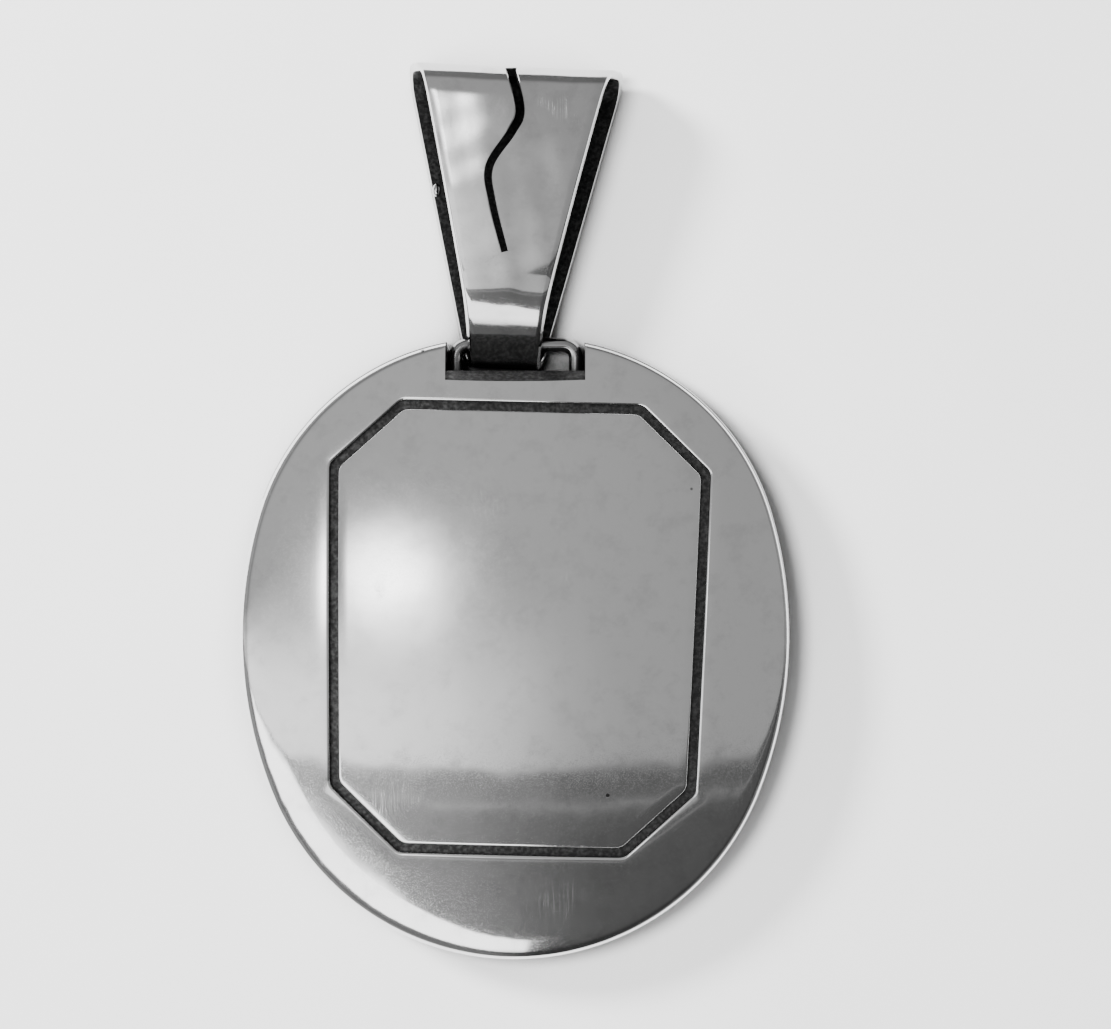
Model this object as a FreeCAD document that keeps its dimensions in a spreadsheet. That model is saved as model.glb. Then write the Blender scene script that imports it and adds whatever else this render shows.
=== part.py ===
import FreeCAD, Part
import math
import os

import Sketcher

# An oval silver locket: a flat-backed tray and a domed cover on a side hinge, an octagonal
# panel set in the cover, and a folded bail on a wire loop in a notch at the top.
# Frame: the back lies on z = 0 with its oval centred on the origin, the domed front faces +Z,
# the bail points to +Y and the hinge is on the -X side.

doc = FreeCAD.newDocument("Locket")

# Driving dimensions in millimetres and degrees.
DIMENSIONS = [
    # The oval outline of the cover: six tangent arcs, a little broader above its middle.
    ("half_width", 19.0),
    ("half_length", 21.6),
    ("side_radius", 29.9),
    ("side_middle", 0.9),
    ("crown_radius", 28.0),
    ("corner_radius", 16.9),
    # The two halves.
    ("depth", 7.4),
    ("seam", 2.4),
    ("seam_gap", 0.04),
    ("dome_radius", 90.0),
    ("sheet", 0.5),
    ("rim_step", 0.25),
    ("rim_round", 1.1),
    ("back_rim_round", 0.2),
    ("back_round", 0.9),
    ("lip_gap", 0.08),
    ("lip_wall", 0.35),
    ("lip_rise", 0.8),
    ("lip_room", 0.15),
    # The octagonal recess in the cover and the panel in it.
    ("panel_middle_x", 0.16),
    ("panel_middle_y", 1.45),
    ("panel_half_top", 13.15),
    ("panel_half_foot", 12.6),
    ("panel_half_length", 15.6),
    ("panel_cut_x", 4.8),
    ("panel_cut_y", 4.5),
    ("panel_turn", 1.3),
    ("recess_depth", 0.5),
    ("channel", 0.68),
    ("channel_round", 0.22),
    ("corner_soft", 0.4),
    ("panel_round", 0.12),
    # The notch at the top and the wire loop across it.
    ("notch_middle", 0.07),
    ("notch_half", 4.85),
    ("notch_floor", 19.3),
    ("notch_wall", 1.05),
    ("bevel", 1.0),
    ("bevel_drop", 1.15),
    ("wire_radius", 0.5),
    ("loop_half", 4.22),
    ("loop_bend", 0.9),
    ("bar_y", 21.2),
    ("bar_z", 1.85),
    # The hinge under the cover's rim.
    ("barrel_inset", 0.75),
    ("barrel_radius", 0.55),
    ("barrel_length", 9.0),
    ("knuckle_gap", 0.1),
    ("pin_radius", 0.22),
    ("pin_play", 0.03),
    ("pin_head_radius", 0.4),
    ("pin_head", 0.2),
    ("hinge_wall", 0.65),
    ("hinge_room", 0.1),
    ("knuckle_foot", 0.1),
    # The snap: a bead on the lip, and a scallop for a thumbnail.
    ("bead_radius", 0.25),
    ("bead_proud", 0.13),
    ("nail_radius", 2.6),
    ("nail_height", 0.35),
    # The picture frames, windows and blank cards in both halves.
    ("frame_inset", 4.0),
    ("frame_wall", 0.4),
    ("frame_round", 0.14),
    ("view_inset", 5.6),
    ("fit_gap", 0.05),
    ("card", 0.25),
    ("window", 0.3),
    ("flange", 0.35),
    ("liner", 0.25),
    # The bail: a closed strap, wider at the back and at the fold. From its foot under the bar
    # it runs up the back, round two bends at the fold, down the front over a broad shoulder,
    # and back to the foot.
    ("strap", 0.6),
    ("foot_radius", 1.55),
    ("foot_along", -0.15),
    ("shoulder_radius", 9.0),
    ("shoulder_along", 5.6),
    ("shoulder_height", -5.15),
    ("fold_radius", 2.2),
    ("fold_along", 17.2),
    ("fold_height", 1.3),
    ("bail_half", 2.82),
    ("bail_flare", 0.22),
    ("bail_lead", 0.2),
    ("bail_seam", 10.6),
    ("bail_lean", 2.4),
    ("bail_shift", -0.7),
    ("bail_rest", 0.02),
    ("cut_width_top", 0.84),
    ("cut_width_foot", 0.56),
]

sheet = doc.addObject("Spreadsheet::Sheet", "Dims")
for row, (alias, size) in enumerate(DIMENSIONS, start=1):
    sheet.set("A%d" % row, alias)
    sheet.set("B%d" % row, str(size))
    sheet.setAlias("B%d" % row, alias)
doc.recompute()

ALIASES = {alias for alias, size in DIMENSIONS}


def cells(text):
    """Turns dimension names in a formula into references to the sheet's cells."""
    words = []
    word = ""
    for letter in text + " ":
        if letter.isalnum() or letter == "_":
            word += letter
            continue
        words.append("Dims." + word if word in ALIASES else word)
        words.append(letter)
        word = ""
    return "".join(words).strip()


def value(text):
    """The number that a formula of dimension names gives."""
    result = sheet.evalExpression(cells(text))
    return float(getattr(result, "Value", result))


def bind(item, **formulas):
    """Binds properties of an object to formulas; two underscores stand for a dot."""
    for name, formula in formulas.items():
        item.setExpression(name.replace("__", "."), cells(formula))
    return item


def place(item, along_x="0", along_y="0", along_z="0"):
    """Binds an object's position."""
    item.setExpression("Placement.Base.x", cells(along_x))
    item.setExpression("Placement.Base.y", cells(along_y))
    item.setExpression("Placement.Base.z", cells(along_z))
    return item


def turned(item, axis, formula):
    """Binds an object's turn about an axis through its own origin."""
    item.Placement = FreeCAD.Placement(item.Placement.Base, FreeCAD.Rotation(axis, 1.0))
    item.setExpression("Placement.Rotation.Angle", cells(formula))
    return item


def box(name, low, high):
    """A box between two corners, each three formulas."""
    block = doc.addObject("Part::Box", name)
    for side, start, stop in zip(("Length", "Width", "Height"), low, high):
        block.setExpression(side, cells("(%s) - (%s)" % (stop, start)))
    return place(block, *low)


def rod(name, radius, length, start, axis=None):
    """A cylinder of a radius and length from a point, along +Z or turned to another axis."""
    cylinder = doc.addObject("Part::Cylinder", name)
    bind(cylinder, Radius=radius, Height=length)
    if axis is not None:
        cylinder.Placement = FreeCAD.Placement(FreeCAD.Vector(), FreeCAD.Rotation(Z_AXIS, axis))
    return place(cylinder, *start)


def ball(name, radius, centre):
    """A sphere about a point."""
    sphere = doc.addObject("Part::Sphere", name)
    bind(sphere, Radius=radius)
    return place(sphere, *centre)


def fuse(name, *items):
    """Several solids joined into one."""
    result = doc.addObject("Part::MultiFuse", name)
    result.Shapes = list(items)
    return result


def common(name, *items):
    """What several solids share."""
    result = doc.addObject("Part::MultiCommon", name)
    result.Shapes = list(items)
    return result


def cut(name, base, *tools):
    """A solid less one or more others."""
    result = doc.addObject("Part::Cut", name)
    result.Base = base
    result.Tool = tools[0] if len(tools) == 1 else fuse(name + "_tools", *tools)
    return result


def rounded(name, base, radius, chosen):
    """A solid with the edges that a test chooses rounded off."""
    doc.recompute()
    result = doc.addObject("Part::Fillet", name)
    result.Base = base
    size = value(radius)
    edges = enumerate(base.Shape.Edges, start=1)
    result.Edges = [(number, size, size) for number, edge in edges if chosen(edge)]
    return result


def finished(name, item):
    """Gives the last object of a sub-part the label that names its file."""
    item.Label = name
    PARTS.append(item)
    return item


X_AXIS = FreeCAD.Vector(1, 0, 0)
Y_AXIS = FreeCAD.Vector(0, 1, 0)
Z_AXIS = FreeCAD.Vector(0, 0, 1)
PARTS = []
FAR = "60"
TINY = 0.001
HINGE_X = "barrel_inset - half_width"
HINGE_WALL_X = "barrel_inset - half_width + barrel_radius + fit_gap"
LIP_INSET = "sheet + lip_gap"
LINER_Z = "seam + lip_rise + lip_room"


# ---------------------------------------------------------------- outlines

def tangent_point(big, small):
    """Where the smaller of two circles touches the larger from the inside."""
    (centre, radius), (other, _) = big, small
    return centre + (other - centre).normalize() * radius


def arc_between(circle, start, stop):
    """The arc of a circle, counterclockwise from one point to another."""
    centre, radius = circle
    first = math.atan2(start.y - centre.y, start.x - centre.x)
    last = math.atan2(stop.y - centre.y, stop.x - centre.x)
    if last <= first:
        last += 2 * math.pi
    return Part.ArcOfCircle(Part.Circle(centre, Z_AXIS, radius), first, last)


def mirrored(point):
    return FreeCAD.Vector(-point.x, point.y, 0)


def oval_outline(name, inset):
    """The cover's outline drawn in by inset: crown, corners, sides and foot, all tangent arcs."""
    less = " - (%s)" % inset
    half_length = value("half_length" + less)
    corner_radius = value("corner_radius" + less)
    side = (FreeCAD.Vector(value("half_width - side_radius"), value("side_middle"), 0),
            value("side_radius" + less))
    crown = (FreeCAD.Vector(0, value("half_length - crown_radius"), 0),
             value("crown_radius" + less))
    corner = (corner_centre(side, crown, corner_radius), corner_radius)
    foot_radius = foot_arc_radius(side, half_length)
    foot = (FreeCAD.Vector(0, foot_radius - half_length, 0), foot_radius)

    low = tangent_point(side, foot)
    high = tangent_point(side, corner)
    top = tangent_point(crown, corner)
    left_side = (mirrored(side[0]), side[1])
    left_corner = (mirrored(corner[0]), corner[1])

    sketch = doc.addObject("Sketcher::SketchObject", name)
    sketch.addGeometry([
        arc_between(side, low, high),
        arc_between(corner, high, top),
        arc_between(crown, top, mirrored(top)),
        arc_between(left_corner, mirrored(top), mirrored(high)),
        arc_between(left_side, mirrored(high), mirrored(low)),
        arc_between(foot, mirrored(low), low),
    ])
    lowest = sketch.addGeometry(Part.Point(FreeCAD.Vector(0, -half_length, 0)), True)
    arcs = 6
    for number in range(arcs):
        sketch.addConstraint(Sketcher.Constraint("Tangent", number, 2, (number + 1) % arcs, 1))
    sketch.addConstraint([
        Sketcher.Constraint("Equal", 0, 4),
        Sketcher.Constraint("Equal", 1, 3),
        Sketcher.Constraint("PointOnObject", 2, 3, -2),
        Sketcher.Constraint("Symmetric", 0, 3, 4, 3, -2),
        Sketcher.Constraint("PointOnObject", lowest, 1, -2),
        Sketcher.Constraint("PointOnObject", lowest, 1, 5),
    ])
    driven = [
        ("Radius", (0,), "side_radius" + less),
        ("Radius", (1,), "corner_radius" + less),
        ("Radius", (2,), "crown_radius" + less),
        ("DistanceY", (2, 3, -1, 1), "crown_radius - half_length"),
        ("DistanceX", (0, 3, -1, 1), "side_radius - half_width"),
        ("DistanceY", (-1, 1, 0, 3), "side_middle"),
        ("DistanceY", (lowest, 1, -1, 1), "half_length" + less),
    ]
    drive(sketch, driven)
    return sketch


def corner_centre(side, crown, radius):
    """The centre of a corner arc that touches the side and crown arcs from the inside."""
    (first, first_radius), (second, second_radius) = side, crown
    reach = first_radius - radius
    other_reach = second_radius - radius
    span = (second - first).Length
    along = (reach ** 2 - other_reach ** 2 + span ** 2) / (2 * span)
    across = math.sqrt(reach ** 2 - along ** 2)
    line = (second - first).normalize()
    return first + line * along + FreeCAD.Vector(-line.y, line.x, 0) * across


def foot_arc_radius(side, half_length):
    """The radius of the foot arc that touches both side arcs and the lowest point."""
    centre, radius = side
    drop = half_length + centre.y
    return (radius ** 2 - centre.x ** 2 - drop ** 2) / (2 * (radius - drop))


def drive(sketch, driven):
    """Adds dimensions to a sketch and binds each to its formula."""
    for kind, picks, formula in driven:
        number = sketch.addConstraint(Sketcher.Constraint(kind, *picks, value(formula)))
        sketch.setExpression("Constraints[%d]" % number, cells(formula))


def polygon(name, corners):
    """A closed sketch of straight lines through corners given as pairs of formulas."""
    points = [FreeCAD.Vector(value(along), value(up), 0) for along, up in corners]
    sketch = doc.addObject("Sketcher::SketchObject", name)
    count = len(points)
    for number, point in enumerate(points):
        sketch.addGeometry(Part.LineSegment(point, points[(number + 1) % count]))
    for number in range(count):
        sketch.addConstraint(Sketcher.Constraint("Coincident", number, 2, (number + 1) % count, 1))
    for number, (along, up) in enumerate(corners):
        drive(sketch, [
            ("DistanceX", (-1, 1, number, 1), along),
            ("DistanceY", (-1, 1, number, 1), up),
        ])
    return sketch


def extruded(name, source, low, high):
    """A flat outline raised from one height to another."""
    solid = doc.addObject("Part::Extrusion", name)
    solid.Base = source
    solid.DirMode = "Custom"
    solid.Dir = Z_AXIS
    solid.Solid = True
    bind(solid, LengthFwd="(%s) - (%s)" % (high, low))
    return place(solid, "0", "0", low)


def oval(name, inset, low, high):
    """The oval outline, drawn in by inset, between two heights."""
    return extruded(name, oval_outline(name + "_edge", inset), low, high)


def dome(name, inset):
    """The ball whose top is the cover's domed surface, drawn in by inset.

    It lies on its side, so that neither its poles nor its seam come near the dome.
    """
    globe = ball(name, "dome_radius - (%s)" % inset, ("0", "0", "depth - dome_radius"))
    return turned(globe, X_AXIS, "90")


def lens(name, inset, low):
    """The cover's outside shape drawn in by inset: a domed oval with a rounded rim."""
    sides = oval(name + "_sides", inset, low, "depth")
    crowned = common(name + "_crowned", sides, dome(name + "_ball", inset))
    return rounded(name, crowned, "rim_round - (%s)" % inset, is_rim)


def is_rim(edge):
    """True for the crowned oval's upper edges, which aren't flat."""
    bounds = edge.BoundBox
    crowned = TINY < bounds.ZLength < 1.5
    return crowned and edge.Length > 3 and bounds.ZMin > value("seam + 1")


def octagon(name, inset, low, high):
    """The panel's octagon drawn in by inset, a little narrower at the foot, between heights."""
    slant = "(panel_cut_x + panel_cut_y - sqrt(panel_cut_x ^ 2 + panel_cut_y ^ 2))"
    cut_x = "(panel_cut_x - (%s) * %s / panel_cut_y)" % (inset, slant)
    cut_y = "(panel_cut_y - (%s) * %s / panel_cut_x)" % (inset, slant)
    end = "(panel_half_length - (%s))" % inset
    top = "(panel_half_top - (%s))" % inset
    foot = "(panel_half_foot - (%s))" % inset
    right_side = [
        ("%s - %s" % (foot, cut_x), "-" + end),
        (foot, "%s - %s" % (cut_y, end)),
        (top, "%s - %s" % (end, cut_y)),
        ("%s - %s" % (top, cut_x), end),
    ]
    left_side = [("-(%s)" % along, up) for along, up in reversed(right_side)]
    sketch = polygon(name + "_plan", right_side + left_side)
    turned(sketch, Z_AXIS, "-panel_turn")
    place(sketch, "panel_middle_x", "panel_middle_y", "0")
    return extruded(name, sketch, low, high)


# ---------------------------------------------------------------- cutters shared by both halves

NOTCH_LOW = "notch_middle - notch_half"
NOTCH_HIGH = "notch_middle + notch_half"


def notch_block(name, low, high):
    """The block of metal that walls the notch in."""
    return box(name,
               (NOTCH_LOW + " - notch_wall", "notch_floor - notch_wall", low),
               (NOTCH_HIGH + " + notch_wall", FAR, high))


def notch_cutter():
    """The notch itself, right through, with its floor bevelled towards the front."""
    profile = polygon("Notch_profile", [
        ("notch_floor", "-1"),
        (FAR, "-1"),
        (FAR, "depth"),
        ("notch_floor - 2 * bevel", "depth"),
        ("notch_floor", "depth - 2 * bevel - bevel_drop"),
    ])
    profile.Placement = FreeCAD.Placement(
        FreeCAD.Vector(), FreeCAD.Rotation(Y_AXIS, Z_AXIS, X_AXIS, "ZXY"))
    cutter = doc.addObject("Part::Extrusion", "Notch")
    cutter.Base = profile
    cutter.DirMode = "Custom"
    cutter.Dir = X_AXIS
    cutter.Solid = True
    bind(cutter, LengthFwd="2 * notch_half")
    return place(cutter, NOTCH_LOW)


NOTCH = notch_cutter()


# ---------------------------------------------------------------- back half

def back_shell():
    """The flat-backed tray, with a wall along the hinge and one round the notch."""
    low, high = "0", "seam"
    block = oval("Back_block", "-rim_step", low, high)
    soft = rounded("Back_soft", block, "back_round", lambda edge: edge.BoundBox.ZMax < TINY)
    outside = rounded("Back_outside", soft, "back_rim_round",
                      lambda edge: edge.BoundBox.ZMin > value("seam") - TINY)
    hollow = oval("Back_hollow", LIP_INSET, "sheet", "seam + 1")
    behind_hinge = box("Back_hinge_side", ("-" + FAR, "-" + FAR, "-1"),
                       (HINGE_WALL_X + " + hinge_wall", FAR, FAR))
    room = cut("Back_room", hollow, behind_hinge, notch_block("Back_notch_block", "-1", FAR))
    hinge_flat = box("Back_hinge_flat", ("-" + FAR, "-" + FAR, "-1"), (HINGE_WALL_X, FAR, FAR))
    return finished("back_shell", cut("Back_shell", outside, room, hinge_flat, NOTCH))


def snap_lip():
    """The inner rim that stands up past the seam and holds the cover by friction."""
    ring = cut("Lip_ring", oval("Lip_outer", LIP_INSET, "sheet", "seam + lip_rise"),
               oval("Lip_inner", LIP_INSET + " + lip_wall", "0", FAR))
    hinge_side = box("Lip_hinge_side", ("-" + FAR, "-" + FAR, "0"),
                     (HINGE_WALL_X + " + hinge_wall", FAR, FAR))
    gap = notch_block("Lip_notch_gap", "0", FAR)
    return finished("snap_lip", cut("Snap_lip", ring, hinge_side, gap))


def catch_bead():
    """The bead on the lip, opposite the hinge, that the cover clicks over."""
    face_x = "half_width - sheet - lip_gap"
    centre = (face_x + " + bead_proud - bead_radius", "side_middle", "seam + lip_rise / 2")
    bead = ball("Bead_ball", "bead_radius", centre)
    outside = box("Bead_side", (face_x, "-2", "0"), (FAR, "4", FAR))
    return finished("catch_bead", common("Catch_bead", bead, outside))


def picture_stack(side, floor, towards):
    """A blank card, a clear window and the frame that holds them, from a floor upwards or down.

    towards is "+" in the back half, where the stack rises, and "-" in the cover.
    """
    def level(formula):
        return "%s %s (%s)" % (floor, towards, formula)

    def layer(name, inset, start, stop):
        low, high = (start, stop) if towards == "+" else (stop, start)
        return oval(name, inset, level(low), level(high))

    title = side.capitalize()
    inside = "frame_inset + frame_wall + fit_gap"
    card = layer(title + "_card", inside, "0", "card")
    finished(side + "_picture_card", card)
    window = layer(title + "_window", inside, "card", "card + window")
    finished(side + "_window", window)
    total = "card + window + flange"
    block = layer(title + "_frame_block", "frame_inset", "0", total)
    seat = layer(title + "_frame_seat", "frame_inset + frame_wall", "-1", "card + window")
    view = layer(title + "_frame_view", "view_inset", "-1", total + " + 1")
    frame = cut(title + "_frame_cut", block, seat, view)
    edge_z = value(level(total))

    def is_view_edge(edge):
        bounds = edge.BoundBox
        return bounds.ZLength < TINY and abs(bounds.ZMin - edge_z) < TINY

    finished(side + "_picture_frame",
             rounded(title + "_frame", frame, "frame_round", is_view_edge))


# ---------------------------------------------------------------- cover

def front_shell():
    """The domed cover, pressed down in an octagon for the panel."""
    blank = lens("Cover_blank", "0", "seam + seam_gap")
    sunk = rounded("Recess_soft", octagon("Recess_block", "0", "seam", "depth + 1"),
                   "corner_soft", lambda edge: edge.BoundBox.ZLength > 1)
    recess = cut("Recess", sunk, dome("Recess_floor", "recess_depth"))
    pressed = rounded("Cover_pressed", cut("Cover_sunk", blank, recess), "channel_round",
                      is_recess_edge)

    under_octagon = octagon("Under_octagon", "-sheet", "seam", "depth + 1")
    low_room = common("Cover_low_room", under_octagon,
                      dome("Cover_low_ball", "sheet + recess_depth"))
    side_room = cut("Cover_side_room", lens("Cover_room_blank", "sheet", "seam - 1"),
                    under_octagon)
    hollow = fuse("Cover_hollow", side_room, low_room)
    room = cut("Cover_room", hollow, notch_block("Cover_notch_block", "0", FAR))

    half_barrel = "(barrel_length / 2 + pin_head + hinge_room)"
    barrel_slot = box("Barrel_slot",
                      ("-half_width - 1", "side_middle - " + half_barrel, "0"),
                      (HINGE_WALL_X, "side_middle + " + half_barrel,
                       "seam + barrel_radius + hinge_room"))
    dimple = ball("Bead_dimple", "bead_radius + lip_gap",
                  ("half_width - sheet - lip_gap + bead_proud - bead_radius", "side_middle",
                   "seam + lip_rise / 2"))
    scallop = rod("Nail_scallop", "nail_radius", "2",
                  ("half_width - 1", "side_middle", "seam - nail_radius + nail_height"), X_AXIS)
    shell = cut("Front_shell", pressed, room, barrel_slot, NOTCH, dimple, scallop)
    return finished("front_shell", shell)


def is_recess_edge(edge):
    """True for the upper edges of the octagonal recess, on the domed surface."""
    centre = FreeCAD.Vector(0, 0, value("depth - dome_radius"))
    reach = value("dome_radius")
    on_dome = all(abs((end.Point - centre).Length - reach) < TINY for end in edge.Vertexes)
    return on_dome and isinstance(edge.Curve, Part.Circle)


def octagon_panel():
    """The polished plate in the recess, following the dome."""
    plate = common("Panel_plate", octagon("Panel_block", "channel", "seam", "depth + 1"),
                   dome("Panel_top", "0"))
    sheet_only = cut("Panel_sheet", plate, dome("Panel_under", "recess_depth"))
    return finished("octagon_panel",
                    rounded("Panel", sheet_only, "panel_round", is_recess_edge))


def front_liner():
    """The flat plate that closes the dome and carries the cover's picture."""
    plate = oval("Liner_plate", "sheet", LINER_Z, LINER_Z + " + liner")
    return finished("front_liner",
                    cut("Front_liner", plate, notch_block("Liner_gap", "0", FAR)))


# ---------------------------------------------------------------- hinge

def knuckle(name, start, length, foot_low, foot_high):
    """One length of hinge tube with the foot that solders it to its half."""
    axis_start = (HINGE_X, "side_middle + (%s)" % start, "seam")
    tube = rod(name + "_tube", "barrel_radius", length, axis_start, Y_AXIS)
    foot = box(name + "_foot", foot_low, foot_high)
    bore = rod(name + "_bore", "pin_radius + pin_play", length + " + 2",
               (HINGE_X, "side_middle + (%s) - 1" % start, "seam"), Y_AXIS)
    return cut(name, fuse(name + "_solid", tube, foot), bore)


def hinge_knuckles():
    """Two knuckles on the back half and one between them on the cover."""
    share = "(barrel_length - 2 * knuckle_gap) / 3"
    starts = ["-barrel_length / 2", "barrel_length / 2 - " + share]
    backs = []
    for number, start in enumerate(starts, start=1):
        near = "side_middle + (%s)" % start
        backs.append(knuckle(
            "Back_knuckle_%d" % number, start, share,
            (HINGE_X, near, "seam - barrel_radius"),
            (HINGE_WALL_X, near + " + " + share, "seam - pin_radius - knuckle_foot")))
    pair = doc.addObject("Part::Compound", "Back_knuckles")
    pair.Links = backs
    finished("hinge_knuckles_back", pair)

    start = "-(%s) / 2" % share
    near = "side_middle + (%s)" % start
    front = knuckle("Front_knuckle", start, share,
                    (HINGE_X + " - pin_radius", near, "seam + pin_radius + knuckle_foot"),
                    (HINGE_X + " + pin_radius", near + " + " + share, LINER_Z))
    finished("hinge_knuckle_front", front)


def hinge_pin():
    """The pin, riveted over at both ends."""
    half = "barrel_length / 2"
    shaft = rod("Pin_shaft", "pin_radius", "barrel_length",
                (HINGE_X, "side_middle - " + half, "seam"), Y_AXIS)
    heads = [rod("Pin_head_%d" % number, "pin_head_radius", "pin_head",
                 (HINGE_X, "side_middle + (%s)" % start, "seam"), Y_AXIS)
             for number, start in enumerate(("-(%s) - pin_head" % half, half), start=1)]
    return finished("hinge_pin", fuse("Hinge_pin", shaft, *heads))


# ---------------------------------------------------------------- loop and bail

def bail_loop():
    """The wire staple across the notch: a bar, two bends and two legs."""
    straight = "loop_half - loop_bend"
    pieces = [rod("Loop_bar", "wire_radius", "2 * (%s)" % straight,
                  ("notch_middle - (%s)" % straight, "bar_y", "bar_z"), X_AXIS)]
    for name, sign, first in (("left", "-", 90), ("right", "+", 0)):
        bend = doc.addObject("Part::Torus", "Loop_bend_" + name)
        bind(bend, Radius1="loop_bend", Radius2="wire_radius")
        bend.Angle3 = 90
        bend.Placement = FreeCAD.Placement(FreeCAD.Vector(), FreeCAD.Rotation(Z_AXIS, first))
        place(bend, "notch_middle %s (%s)" % (sign, straight), "bar_y - loop_bend", "bar_z")
        leg = rod("Loop_leg_" + name, "wire_radius", "bar_y - loop_bend - notch_floor",
                  ("notch_middle %s loop_half" % sign, "notch_floor", "bar_z"), Y_AXIS)
        pieces += [bend, leg]
    return finished("bail_loop", fuse("Bail_loop", *pieces))


def round_circles(name, circles):
    """A closed sketch of arcs and tangent lines round circles, each (along, up, radius)."""
    rounds = [(FreeCAD.Vector(value(along), value(up), 0), value(radius))
              for along, up, radius in circles]
    count = len(rounds)
    normals = []
    for number in range(count):
        (start, start_radius), (stop, stop_radius) = rounds[number], rounds[(number + 1) % count]
        run = stop - start
        bearing = math.atan2(run.y, run.x) - math.pi / 2
        bearing += math.asin((start_radius - stop_radius) / run.Length)
        normals.append(FreeCAD.Vector(math.cos(bearing), math.sin(bearing), 0))
    sketch = doc.addObject("Sketcher::SketchObject", name)
    for number, (centre, radius) in enumerate(rounds):
        before, after = normals[number - 1], normals[number]
        sketch.addGeometry(arc_between((centre, radius), centre + before * radius,
                                       centre + after * radius))
        other, other_radius = rounds[(number + 1) % count]
        sketch.addGeometry(Part.LineSegment(centre + after * radius,
                                            other + after * other_radius))
    pieces = 2 * count
    for number in range(pieces):
        sketch.addConstraint(Sketcher.Constraint("Tangent", number, 2, (number + 1) % pieces, 1))
    for number, (along, up, radius) in enumerate(circles):
        drive(sketch, [
            ("Radius", (2 * number,), radius),
            ("DistanceX", (-1, 1, 2 * number, 3), along),
            ("DistanceY", (-1, 1, 2 * number, 3), up),
        ])
    return sketch


def bail_envelope():
    """The room that the strap is trimmed to: wider towards the fold and towards the back.

    It is cut generously past the strap: low and high along it, and reach to each side.
    """
    reach = "8"
    low, high = "-4", "22"

    def half(along, up):
        return "bail_half + bail_flare * (%s) - bail_lead * (%s)" % (along, up)

    ends = []
    for name, up in (("back", "-" + reach), ("front", reach)):
        near, far = half(low, up), half(high, up)
        sketch = polygon("Bail_plan_" + name, [
            ("-(%s)" % near, low), (near, low), (far, high), ("-(%s)" % far, high)])
        ends.append(place(sketch, "0", "0", up))
    envelope = doc.addObject("Part::Loft", "Bail_envelope")
    envelope.Sections = ends
    envelope.Solid = True
    envelope.Ruled = True
    return envelope


def decorative_cut():
    """The wavy slot in the front leaf, narrowing towards its foot."""
    # The slot's middle line as (across, along) in millimetres, from the fold down.
    middle = [(-0.3, 19.2), (0.45, 16.4), (-0.1, 14.8), (-1.5, 12.4), (-1.2, 10.0), (-0.2, 6.6)]
    line = Part.BSplineCurve()
    line.interpolate([FreeCAD.Vector(across, along, 0) for across, along in middle])
    top, foot = value("cut_width_top / 2"), value("cut_width_foot / 2")
    steps = 16
    left, right = [], []
    for step in range(steps + 1):
        share = step / steps
        at = line.FirstParameter + share * (line.LastParameter - line.FirstParameter)
        point = line.value(at)
        run = FreeCAD.Vector(line.tangent(at)[0])
        side = FreeCAD.Vector(-run.y, run.x, 0) * (top + (foot - top) * share)
        left.append(point + side)
        right.append(point - side)
    sides = []
    for points in (left, right):
        edge = Part.BSplineCurve()
        edge.interpolate(points)
        sides.append(edge.toShape())
    caps = [Part.LineSegment(right[0], left[0]).toShape(),
            Part.LineSegment(left[-1], right[-1]).toShape()]
    wire = Part.Wire(Part.__sortEdges__(sides + caps))
    cutter = doc.addObject("Part::Feature", "Decorative_cut")
    cutter.Shape = Part.Face(wire).extrude(FreeCAD.Vector(0, 0, 8))
    return cutter


def bail():
    """The folded strap, made flat in its own frame and then hung on the bar.

    In its own frame the bar is the X axis, +Y runs to the fold and +Z is the front.
    """
    bends = [
        ("foot_along", "0", "foot_radius"),
        ("fold_along", "-fold_height", "fold_radius"),
        ("fold_along", "fold_height", "fold_radius"),
        ("shoulder_along", "shoulder_height", "shoulder_radius"),
    ]
    half_blank = 12
    solids = []
    for name, inset in (("Bail_block", "0"), ("Bail_hole", "strap")):
        solid = doc.addObject("Part::Extrusion", name)
        solid.Base = round_circles(name + "_profile", [
            (along, up, radius + " - " + inset) for along, up, radius in bends])
        solid.DirMode = "Custom"
        solid.Dir = Z_AXIS
        solid.Solid = True
        solid.LengthFwd = half_blank
        solid.LengthRev = half_blank
        solids.append(solid)
    strip = cut("Bail_strip", *solids)
    strip.Placement = FreeCAD.Placement(
        FreeCAD.Vector(), FreeCAD.Rotation(Y_AXIS, Z_AXIS, X_AXIS, "ZXY"))
    trimmed = common("Bail_trimmed", strip, bail_envelope())
    slotted = cut("Bail_slotted", trimmed, decorative_cut())

    behind = box("Bail_behind", ("-" + FAR, "foot_along", "-" + FAR), (FAR, "bail_seam", "0"))
    halves = [("bail_back", common("Bail_back", slotted, behind)),
              ("bail_front", cut("Bail_front", slotted, behind))]
    for name, half in halves:
        hang(half)
        finished(name, half)


def hang(item):
    """Hangs a piece of the bail on the bar, resting on its fold and leaning a little."""
    lowest_bend = FreeCAD.Vector(value("fold_along"), -value("fold_height"), 0)
    rise = value("fold_radius + bail_rest - bar_z")
    lift = math.asin(rise / lowest_bend.Length) - math.atan2(lowest_bend.y, lowest_bend.x)
    tilt = FreeCAD.Rotation(X_AXIS, math.degrees(lift))
    lean = FreeCAD.Rotation(Z_AXIS, -value("bail_lean"))
    item.Placement = FreeCAD.Placement(FreeCAD.Vector(), lean.multiply(tilt))
    place(item, "bail_shift", "bar_y", "bar_z")


# ---------------------------------------------------------------- assembly

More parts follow.
